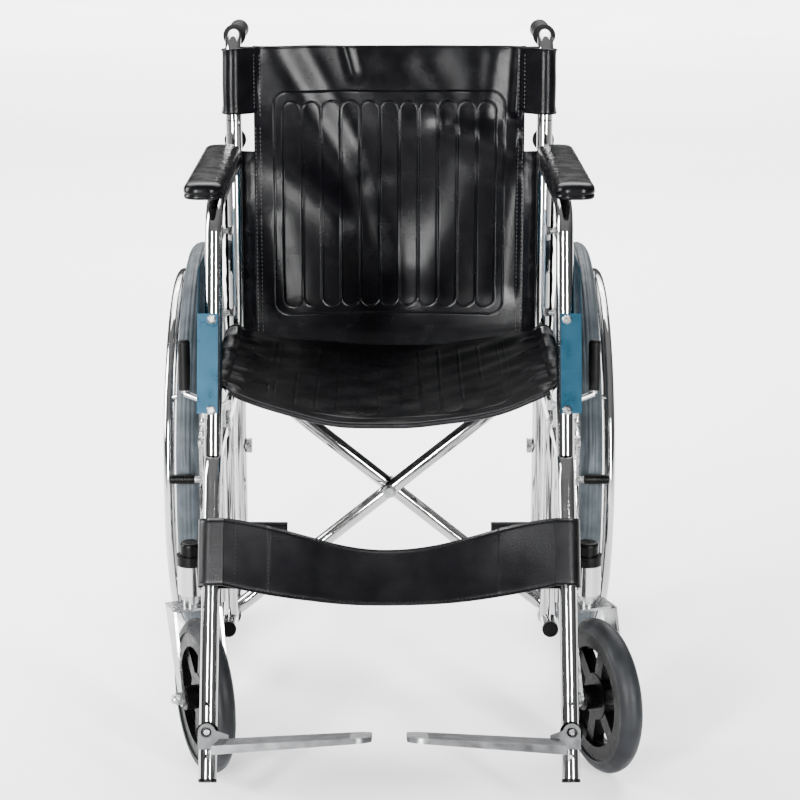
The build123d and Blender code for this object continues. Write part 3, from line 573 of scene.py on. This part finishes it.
def make_back():
    """The back's two flats, with hem and stitches."""
    top = BACK_TOP_Z - 0.002
    lower = back_flat("back_flat_lower", BACK_LOW_Z, SPLIT_Z)
    upper = back_flat("back_flat_upper", SPLIT_Z, top)
    for piece, body, node in (
        (lower, "frame_left", "back_upholstery_lower"),
        (upper, "upper_back_left", "back_upholstery_upper"),
    ):
        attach(piece, body)
        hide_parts(node)
        squash_with_fold(piece)
    roll = top_hem()
    low_thread = back_stitches(
        "back_thread_lower", (0.1905, 0.184), BACK_LOW_Z + 0.004, SPLIT_Z - 0.004, "frame_left"
    )
    high_thread = back_stitches(
        "back_thread_upper", (0.1838,), SPLIT_Z + 0.004, BACK_TOP_Z - 0.006, "upper_back_left"
    )


def make_back_wrap(side, sign):
    """The side of the lower back, which goes behind the upright and ends on its outside."""
    turns = np.radians(np.linspace(128, 14, 26))
    rows = []
    for z in np.linspace(WRAP_LOW_Z, WRAP_HIGH_Z, 60):
        start_y = float(back_front(np.array(BACK_EDGE_X), np.array(z)))
        reach = TUBE_R + 0.0030 + 0.0004 * math.sin(z * 130) + 0.0003 * math.sin(z * 310 + 1)
        arc = [(SIDE_X + reach * math.cos(t), BACK_Y + reach * math.sin(t)) for t in turns]
        (end_x, end_y), run = arc[0], []
        for t in np.linspace(0, 1, 6)[:-1]:
            y = start_y + (end_y - start_y) * smooth_step(t)
            run.append((BACK_EDGE_X + (end_x - BACK_EDGE_X) * t, y))
        rows.append([(sign * x, y, z) for x, y in run + arc])
    grid = np.array(rows)
    if sign > 0:
        grid = grid[:, ::-1]
    piece = cloth(f"back_wrap_{side}", grid, -WRAP_CLOTH, BACK_VINYL)
    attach(piece, f"frame_{side}")


def make_sleeve(side, sign):
    """The sleeve of the upper back: a flattened loop round the push cane, sewn to the flat's edge."""
    circle = 0.0150
    seam_x = SLEEVE_EDGE_X
    seam_y = BACK_Y + 0.0090
    layer = 0.0032  # from the middle of the seam to the outside of the sleeve, before and behind the flat
    reach = math.hypot(SIDE_X - seam_x, seam_y - BACK_Y)
    towards = math.atan2(seam_y - BACK_Y, seam_x - SIDE_X)
    spread = math.acos(circle / reach)
    front, back = towards + spread, towards - spread + 2 * math.pi
    a = SIDE_X + circle * math.cos(front), BACK_Y + circle * math.sin(front)
    b = SIDE_X + circle * math.cos(back), BACK_Y + circle * math.sin(back)
    rows = []
    for t in np.linspace(0, 1, 46):
        row = []
        for u in np.linspace(0, 1, 62):  # the front of the loop, round the cane, and the back of the loop
            if u < 0.25:
                x = seam_x + (a[0] - seam_x) * u / 0.25
                y = seam_y - layer + (a[1] - seam_y + layer) * u / 0.25
                out = front
            elif u < 0.75:
                out = front + (back - front) * (u - 0.25) / 0.5
                x, y = SIDE_X + circle * math.cos(out), BACK_Y + circle * math.sin(out)
            else:
                share = (u - 0.75) / 0.25
                x = b[0] + (seam_x - b[0]) * share
                y = b[1] + (seam_y + layer - b[1]) * share
                out = back
            behind = smooth_step((y - BACK_Y) / 0.01)
            low = SLEEVE_LOW_Z + 0.0135 * float(behind)
            high = BACK_TOP_Z - 0.004 + 0.0012 * math.sin(9 * u)
            z = low + (high - low) * t
            swell = 0.00045 * math.sin(52 * z + 5 * u)
            flare = 0.0008 * (abs(2 * t - 1) ** 8)
            gain = (swell + flare) * math.sin(math.pi * u) ** 0.5 if 0 < u < 1 else 0
            row.append((sign * (x + gain * math.cos(out)), y + gain * math.sin(out), z))
        rows.append(row)
    grid = np.array(rows)
    if sign < 0:
        grid = grid[:, ::-1]
    piece = cloth(f"sleeve_{side}", grid, SLEEVE_CLOTH, BACK_VINYL)
    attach(piece, f"upper_back_{side}")
    route = [(tuple(p), (0, -1, 0)) for p in grid[2:-2, 3 if sign > 0 else -4]]
    stitches = thread(f"sleeve_thread_{side}", seam(route, 0.0056, 0.66, 0.0003), 0.00055, THREAD_PAINTED_HIGHLIGHT)
    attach(stitches, f"upper_back_{side}")
    for k, row in enumerate((grid[0], grid[-1])):
        edge = tube(f"sleeve_hem_{side}_{k}", row[1:-1], 0.0013, BACK_VINYL, 8)
        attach(edge, f"upper_back_{side}")


# ---- seat sling ----
SEAT_FRONT_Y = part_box("seat_sling")[0].y
SEAT_REAR_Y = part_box("seat_sling")[1].y
SEAT_WRAP_R = TUBE_R + 0.0028
SEAT_TURN = 146  # degrees round the tube at which the wrap becomes the flat
SEAT_UNDER = -70  # degrees round the tube at which the wrap ends, underneath
SLING_EDGE_X = SIDE_X + SEAT_WRAP_R * math.cos(math.radians(SEAT_TURN))
SLING_EDGE_Z = SEAT_Z + SEAT_WRAP_R * math.sin(math.radians(SEAT_TURN))
SEAT_SAG_FRONT = 0.047
SEAT_SAG_REAR = 0.021
SEAT_CLOTH = 0.0022
SEAT_PRESS = 0.0007
PLUG_OUTLINE = (  # (along, radius)
    (0, 0.0005), (0, 0.0110), (0.0006, 0.0112), (0.0016, 0.0103), (0.0021, 0.0070), (0.0023, 0.0005),
)
SEAT_HEM_FRONT_Y = SEAT_FRONT_Y + 0.005  # where the hems start to roll under
SEAT_HEM_REAR_Y = SEAT_REAR_Y - 0.005
SEAT_RUN = np.concatenate(
    [np.linspace(0, 0.06, 16)[:-1], np.linspace(0.06, 0.94, 120), np.linspace(0.94, 1, 16)[1:]]
)
SEAT_YS = SEAT_HEM_FRONT_Y + (SEAT_HEM_REAR_Y - SEAT_HEM_FRONT_Y) * SEAT_RUN

SEAT_FOLDS = [
    # broad shallow folds of the seat: (x, y, x, y, width, height)
    (-0.150, -0.290, -0.090, -0.110, 0.030, 0.0022),
    (0.060, -0.350, 0.150, -0.190, 0.034, 0.0024),
    (-0.060, -0.070, 0.050, -0.045, 0.026, -0.0022),
    (0.120, -0.090, 0.170, -0.040, 0.026, 0.0022),
    (-0.020, -0.270, 0.040, -0.200, 0.050, -0.0020),
]
PUCKERS = [
    # gathers that run in from the tube: (x, y, x, y, width, height), for a side at positive x
    (0.232, -0.372, 0.198, -0.352, 0.0060, 0.0040),
    (0.230, -0.350, 0.203, -0.371, 0.0050, -0.0026),
    (0.232, -0.318, 0.196, -0.303, 0.0080, 0.0042),
    (0.232, -0.292, 0.204, -0.286, 0.0070, -0.0034),
    (0.232, -0.262, 0.194, -0.250, 0.0085, 0.0040),
    (0.232, -0.222, 0.204, -0.226, 0.0090, -0.0030),
    (0.232, -0.186, 0.188, -0.160, 0.0090, 0.0040),
    (0.232, -0.140, 0.202, -0.146, 0.0100, -0.0028),
    (0.232, -0.100, 0.196, -0.088, 0.0100, 0.0034),
    (0.232, -0.056, 0.204, -0.060, 0.0080, -0.0020),
]


def puckers(x, y, sign):
    """Height of one side's gathers at points of the chair in plan, y counted from the back uprights."""
    shift = 0.0 if sign > 0 else 0.006
    return folds(sign * x, y + shift, PUCKERS)


def seat_top(x, y):
    """Height of the seat's top face, y counted from the back uprights."""
    front, rear = SEAT_FRONT_Y - BACK_Y, SEAT_REAR_Y - BACK_Y
    share = (y - front) / (rear - front)
    sag = SEAT_SAG_FRONT + (SEAT_SAG_REAR - SEAT_SAG_FRONT) * share
    inside = np.abs(x) / SLING_EDGE_X
    hang = SLING_EDGE_Z - sag * (1 - inside ** 2.2)
    panel = groove(box_distance(x, y, (-0.161, front + 0.022), (0.161, rear - 0.016), BORDER_CORNER), 0.0010)
    first = -CHANNEL_PITCH * CHANNELS / 2
    for i in range(CHANNELS):
        low = (first + CHANNEL_PITCH * i + CHANNEL_GAP, front + 0.034)
        high = (first + CHANNEL_PITCH * (i + 1) - CHANNEL_GAP, rear - 0.028)
        panel = np.maximum(panel, groove(box_distance(x, y, low, high, 0.013), 0.0010))
    ripple = 0.0008 * np.sin(share * 23 + x * 31) + 0.0006 * np.sin(share * 41 - x * 57)
    ripple = ripple * smooth_step((1 - inside) / 0.2)
    gathers = puckers(x, y, 1) + puckers(x, y, -1)
    broad = folds(x, y, SEAT_FOLDS) * smooth_step((1 - inside) / 0.15)
    return hang - SEAT_PRESS * panel + ripple + gathers + broad


def hemmed(run, radius, inward):
    """Adds a roll under at the front and at the rear of a run of points; inward is the way it rolls."""
    turns = np.radians(np.linspace(0, 200, 9))[1:]
    rolls = []
    for (x, y, z), way in ((run[0], -1), (run[-1], 1)):
        roll = []
        for t in turns:
            under = radius * (1 - math.cos(t))
            roll.append((x + inward[0] * under, y + way * radius * math.sin(t), z + inward[1] * under))
        rolls.append(roll)
    return rolls[0][::-1] + run + rolls[1]


def seat_column(x):
    """Points of the seat from front to rear at one place across the flat."""
    zs = seat_top(np.full(len(SEAT_YS), x), SEAT_YS - BACK_Y)
    radius = 0.0003 + 0.0038 * float(smooth_step((SLING_EDGE_X - abs(x)) / 0.012))
    return hemmed([(x, y, z) for y, z in zip(SEAT_YS, zs)], radius, (0, -1))


def make_seat():
    """The seat's flat, slung between the two seat tubes."""
    columns = np.linspace(-SLING_EDGE_X, SLING_EDGE_X, 380)
    grid = np.array([seat_column(x) for x in columns])
    piece = cloth("seat_flat", grid[::-1], SEAT_CLOTH, SEAT_VINYL)
    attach(piece, "seat")
    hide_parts("seat_sling")
    squash_with_fold(piece)


def make_seat_wrap(side, sign):
    """Where the seat goes over its tube and under it, and the tube's two end plugs."""
    body, tube_node = ("seat", "cross_brace_b") if sign > 0 else ("brace_a", "cross_brace_a")
    edge = seat_column(sign * SLING_EDGE_X)
    grid = []
    for k, turn in enumerate(np.radians(np.linspace(SEAT_TURN, SEAT_UNDER, 40))):
        out = Vector((math.cos(turn), math.sin(turn)))
        x = sign * (SIDE_X + SEAT_WRAP_R * out.x)
        lift = puckers(np.full(len(SEAT_YS), x), SEAT_YS - BACK_Y, sign)
        lift = lift * float(smooth_step((math.degrees(turn) + 10) / 70))
        reach = SEAT_WRAP_R + np.maximum(lift, -0.0006)
        run = [(sign * (SIDE_X + r * out.x), y, SEAT_Z + r * out.y) for r, y in zip(reach, SEAT_YS)]
        column = hemmed(run, 0.0003, (-sign * out.x, -out.y))
        near = max(0.0, 1 - k / 5) ** 2
        grid.append([tuple(a * near + b * (1 - near) for a, b in zip(p, q)) for p, q in zip(edge, column)])
    grid = np.array(grid)
    piece = cloth(f"seat_wrap_{side}", grid if sign < 0 else grid[::-1], SEAT_CLOTH, SEAT_VINYL)
    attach(piece, body)
    for end, y, way in (("front", SEAT_FRONT_Y - 0.001, -1), ("rear", SEAT_REAR_Y + 0.012, 1)):
        centre = (sign * SIDE_X, y, SEAT_Z)
        plug = turned(f"seat_tube_plug_{side}_{end}", PLUG_OUTLINE, centre, (0, way, 0), PLUG, 40)
        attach(plug, body)


# ---- calf strap ----
STRAP_EDGE_X = SIDE_X - 0.016
STRAP_HALF = 0.042
STRAP_R = TUBE_R + 0.0030
STRAP_CLOTH = 0.0022
STRAP_Z = 0.310
STRAP_SEAM = 0.93  # level of the two long seams, of 1 at the edge
PATCH_OUT_X, PATCH_IN_X = -0.1905, -0.1495  # the stitched patch on the right end
RETURN_X = 0.127  # inner ends of the strap behind the hangers


def hanger_at(z):
    """A point on the footrest hanger's centre line, at X = 0."""
    return Vector((0, FOOT_PIVOT.y, FOOT_PIVOT.z)) + FOOT_UP * ((z - FOOT_PIVOT.z) / FOOT_UP.z)


def strap_hang(x, level):
    """How the slack band hangs between the hangers: its top edge falls furthest and leans back."""
    arch = 1 - (x / STRAP_EDGE_X) ** 2
    wave = 0.5 * (1 + math.cos(math.pi * x / STRAP_EDGE_X))
    high = (level + 1) / 2
    share = 0.92 * arch * (1 - high) + (0.25 * arch + 0.75 * wave) * high
    return Vector((0, (0.007 + 0.015 * level) * share, -(0.0365 + 0.012 * level) * share))


def strap_point(x, level, out, slack):
    """A point of the band, level -1 at its lower edge and 1 at its upper edge."""
    at = hanger_at(STRAP_Z) + FOOT_UP * (STRAP_HALF * level) + FOOT_OUT * out
    if slack:
        at += strap_hang(x, level)
    return x, at.y, at.z


def strap_grid(plan, slack=False):
    """A band: plan is a list of (x, out) across the chair, and the band stands along the hanger."""
    levels = np.concatenate([np.linspace(-1, -0.86, 6), np.linspace(-0.8, 0.8, 19), np.linspace(0.86, 1, 6)])
    rows = []
    for level in levels:
        edge = 0.0007 * math.exp(-(((abs(level) - STRAP_SEAM) / 0.03) ** 2))
        rows.append([strap_point(x, level, out - edge, slack) for x, out in plan])
    return np.array(rows)


def strap_out(x):
    """How far the strap stands out in front of the hangers' centre line."""
    wave = 0.0022 * math.sin(46 * x + 0.8) * (1 - (x / STRAP_EDGE_X) ** 2)
    ripple = wave + 0.0016 * math.exp(-(((x + 0.095) / 0.014) ** 2))
    patch = 0.0012 * float(smooth_step((-x - 0.149) / 0.001))
    layer = patch + 0.0008 * float(smooth_step((x - 0.135) / 0.001))
    return STRAP_R + ripple + layer


def strap_stitches():
    """The two long seams of the band and the two short ones of its patch."""
    routes = []
    for x in (PATCH_OUT_X, PATCH_IN_X):
        routes.append([(x, level) for level in np.linspace(STRAP_SEAM, -STRAP_SEAM, 20)])
    for level in (-STRAP_SEAM, STRAP_SEAM):
        routes.append([(x, level) for x in np.linspace(PATCH_OUT_X, PATCH_IN_X, 10)])
        routes.append([(x, level) for x in np.linspace(PATCH_IN_X, 0.2, 90)])
    ends = []
    for route in routes:
        run = [(strap_point(x, level, strap_out(x) - 0.0006, True), FOOT_OUT) for x, level in route]
        ends += seam(run, 0.0052, 0.7, 0.0004)
    return thread("strap_thread", ends, 0.00045, DARK_THREAD)


def make_strap():
    """The calf strap's slack band in front, and its two ends."""
    columns = np.linspace(-STRAP_EDGE_X, STRAP_EDGE_X, 260)
    grid = strap_grid([(x, strap_out(x)) for x in columns], slack=True)
    band = cloth("strap_band", grid, STRAP_CLOTH, STRAP_VINYL)
    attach(band, "frame_left")
    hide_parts("calf_strap")
    squash_with_fold(band)
    stitches = strap_stitches()
    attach(stitches, "frame_left")
    squash_with_fold(stitches)
    for side, sign in (("left", 1), ("right", -1)):
        make_strap_side(side, sign)


def make_strap_side(side, sign):
    """The loop round one hanger, and the end of the strap that comes back behind it."""
    turns = np.radians(np.linspace(90, -90, 30))
    loop = [(STRAP_EDGE_X, strap_out(sign * STRAP_EDGE_X)), (STRAP_EDGE_X + 0.008, STRAP_R + 0.0006)]
    loop += [(SIDE_X + STRAP_R * math.cos(t), STRAP_R * math.sin(t)) for t in turns]
    loop += [(SIDE_X - 0.008, -STRAP_R), (STRAP_EDGE_X, -STRAP_R)]
    back = []
    for t in np.linspace(0, 1, 24):
        back.append((STRAP_EDGE_X - (STRAP_EDGE_X - RETURN_X) * t, -STRAP_R - 0.002 * t * t))
    for name, plan, squashed in (("strap_loop", loop, False), ("strap_return", back, True)):
        grid = strap_grid([(sign * x, out) for x, out in plan])
        piece = cloth(f"{name}_{side}", grid, -sign * STRAP_CLOTH, STRAP_VINYL)
        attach(piece, f"frame_{side}")
        if squashed:
            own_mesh(piece)


# ---- arm pads ----
PAD_CORNER = 0.020


def rounded_outline(low, high, radius, inset):
    """Points of a rounded rectangle in plan, moved inwards by inset."""
    points = []
    x0, y0, x1, y1 = low.x + inset, low.y + inset, high.x - inset, high.y - inset
    r = max(min(radius - inset * 0.7, (x1 - x0) / 2, (y1 - y0) / 2), 0.0002)
    corners = ((x1 - r, y1 - r, 0), (x0 + r, y1 - r, 90), (x0 + r, y0 + r, 180), (x1 - r, y0 + r, 270))
    for cx, cy, start in corners:
        for k in range(12):
            turn = math.radians(start + 90 * k / 11)
            points.append((cx + r * math.cos(turn), cy + r * math.sin(turn)))
    return points


def make_arm_pad(side):
    """Moulded arm pad: a lip round its foot, a parting groove and a soft crowned top."""
    low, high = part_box(f"arm_pad_{side}")
    tall = high.z - low.z
    profile = (  # (inset from the outline, height)
        (0.0060, 0.0), (0.0014, 0.0), (0.0004, 0.0012), (0.0004, 0.0046), (0.0014, 0.0056), (0.0014, 0.0062),
        (0.0004, 0.0072), (0.0, 0.0100), (0.0006, 0.0135), (0.0026, 0.0168), (0.0062, 0.0190),
        (0.0115, tall - 0.0006), (0.0170, tall), (0.0225, tall + 0.0002),
    )
    rings = []
    for inset, z in profile:
        rings.append([(x, y, low.z + z) for x, y in rounded_outline(low, high, PAD_CORNER, inset)])
    rings = np.array(rings)
    sway = 0.0005 * np.sin((rings[..., 1] - low.y) * 21)
    rings[..., 2] += np.where(rings[..., 2] > low.z + 0.012, sway, 0)
    rows, count = rings.shape[:2]
    faces = grid_faces(rows, count, ring=True) + end_faces(rows, count)
    piece = mesh_piece(f"pad_{side}", rings.reshape(-1, 3), faces, PAD)
    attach(piece, f"frame_{side}")
    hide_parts(f"arm_pad_{side}")


# ---- wheels and brakes ----
TYRE_BEAD = 0.0268  # from the tread down to the rim
TREAD_GROOVES = (-0.006, 0.0, 0.006)  # places across the tread
WALL_LINES = (0.001, 0.0045)  # heights over the middle of the tyre
BRAKE_SLEEVE = 0.034


def make_rear_tyre(side, sign):
    """Solid tyre: round tread with three grooves and a moulded line on each wall."""
    low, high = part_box(f"rear_tyre_{side}")
    middle = Vector((sign * abs(joints["rear_wheel_left_spin"]["pos_m"][0]), BACK_Y, (low.z + high.z) / 2))
    half = (high.x - low.x) / 2
    outer = (high.z - low.z) / 2
    bead = outer - TYRE_BEAD
    outline = [(-0.0125, bead), (0.0125, bead)]
    for k in range(61):
        turn = math.radians(-28 + 236 * k / 60)
        along, out = half * math.cos(turn), half * math.sin(turn)
        cut = sum(0.0011 * math.exp(-(((along - g) / 0.0011) ** 2)) for g in TREAD_GROOVES if out > 0)
        wall = sum(0.0007 * math.exp(-(((out - g) / 0.0009) ** 2)) for g in WALL_LINES)
        depth = half - cut - wall
        outline.append((depth * math.cos(turn), outer - half + depth * math.sin(turn)))
    piece = turned(f"tyre_{side}", outline, middle, (1, 0, 0), GREY_TYRE, 180)
    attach(piece, f"rear_wheel_{side}")
    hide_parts(f"rear_tyre_{side}")


def brake_bar(side):
    """(y, z) of the brake bar's axis, from the end of the bar itself."""
    low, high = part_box(f"brake_arm_{side}")
    end = high.x if side == "left" else low.x
    at_end = [v.co for v in nodes[f"brake_arm_{side}"].data.vertices if abs(v.co.x - end) < 0.0005]
    ys, zs = [v.y for v in at_end], [v.z for v in at_end]
    return (min(ys) + max(ys)) / 2, (min(zs) + max(zs)) / 2


def make_brake_sleeve(side, sign):
    """Ribbed rubber sleeve on the bar that presses on the tyre."""
    low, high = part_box(f"brake_arm_{side}")
    outline = [(0.0, 0.0047)]
    for k in range(49):
        share = k / 48
        round_off = 0.0012 * (abs(2 * share - 1) ** 8)
        outline.append((BRAKE_SLEEVE * share, 0.0068 - 0.0005 * (k % 4 == 0) - round_off))
    outline.append((BRAKE_SLEEVE, 0.0047))
    start = high.x - BRAKE_SLEEVE + 0.0006 if sign > 0 else low.x + BRAKE_SLEEVE - 0.0006
    piece = turned(f"brake_sleeve_{side}", outline, (start, *brake_bar(side)), (sign, 0, 0), BLACK, 32)
    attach(piece, f"brake_arm_{side}")


# ---- scene ----
LENS = 102.06  # mm, for a 36 mm sensor
CAMERA_SHIFT = 0.0134
CAMERA_BACK = 3.2231  # in front of the back uprights
CAMERA_HIGH = 1.1864
CAMERA_DOWN = 14.23  # degrees below level


def floor_paint():
    """Plain pale studio floor."""
    m = Maker("floor_paint")
    m.colour(m.noise(0.8, 2), (0.86, 0.86, 0.86), (0.9, 0.9, 0.9))
    m.rough(m.noise(3, 2), 0.6, 0.75)
    return m.material


def make_floor():
    """A floor that reaches past the picture on every side."""
    reach = 60
    corners = [(-reach, -reach, 0), (reach, -reach, 0), (reach, reach, 0), (-reach, reach, 0)]
    floor = mesh_piece("floor", corners, [(0, 1, 2, 3)], floor_paint())


def make_world():
    """Plain studio surround: dark below the horizon, brighter overhead."""
    world = bpy.data.worlds.new("studio")
    bpy.context.scene.world = world
    world.use_nodes = True
    tree = world.node_tree
    where = tree.nodes.new("ShaderNodeTexCoord")
    split = tree.nodes.new("ShaderNodeSeparateXYZ")
    ramp = tree.nodes.new("ShaderNodeValToRGB")
    tree.links.new(where.outputs["Generated"], split.inputs["Vector"])
    tree.links.new(split.outputs["Z"], ramp.inputs["Fac"])
    ramp.color_ramp.elements[0].position = 0.0
    ramp.color_ramp.elements[0].color = (0.12, 0.12, 0.13, 1)
    ramp.color_ramp.elements[1].position = 0.7
    ramp.color_ramp.elements[1].color = (1.0, 1.0, 1.0, 1)
    tree.links.new(ramp.outputs["Color"], tree.nodes["Background"].inputs["Color"])
    tree.nodes["Background"].inputs["Strength"].default_value = 0.4


def area_light(name, at, target, size, power, spread):
    """A rectangular light that faces its target. Power is in watts, spread in degrees."""
    data = bpy.data.lights.new(name, "AREA")
    data.shape = "RECTANGLE"
    data.size, data.size_y = size
    data.energy = power
    data.spread = math.radians(spread)
    light = bpy.data.objects.new(name, data)
    bpy.context.scene.collection.objects.link(light)
    light.location = at
    light.rotation_euler = (Vector(target) - Vector(at)).to_track_quat("-Z", "Y").to_euler()


def make_lights():
    """Two tall windows of light in front, one at the right side, and soft boxes over the floor behind."""
    area_light("left_window", (-1.4, -3.0, 1.0), (0, 0, 0.62), (0.36, 2.0), 100, 80)
    area_light("right_window", (1.6, -2.7, 1.0), (0, 0, 0.62), (0.28, 2.0), 66, 80)
    area_light("side_window", (-2.6, 0.2, 1.3), (0, 0.1, 0.5), (0.8, 1.6), 60, 100)
    area_light("near_back", (0.0, 2.6, 3.4), (0, 2.4, 0), (5.0, 3.6), 340, 120)
    area_light("far_back", (0.0, 12.0, 7.0), (0, 12.0, 0), (16.0, 12.0), 5600, 140)


def make_camera():
    """The camera of the front view: chest high, a little over three metres away."""
    data = bpy.data.cameras.new("camera")
    data.lens = LENS
    data.sensor_width = 36
    data.shift_x = CAMERA_SHIFT
    camera = bpy.data.objects.new("camera", data)
    bpy.context.scene.collection.objects.link(camera)
    camera.location = (0, BACK_Y - CAMERA_BACK, CAMERA_HIGH)
    camera.rotation_euler = (math.radians(90 - CAMERA_DOWN), 0, 0)
    bpy.context.scene.camera = camera


make_camera()
make_world()
make_lights()
make_floor()
finish_cad_nodes()
make_back()
make_seat()
make_strap()
for side, sign in (("left", 1), ("right", -1)):
    make_back_wrap(side, sign)
    make_sleeve(side, sign)
    make_seat_wrap(side, sign)
    make_arm_pad(side)
    make_rear_tyre(side, sign)
    make_brake_sleeve(side, sign)
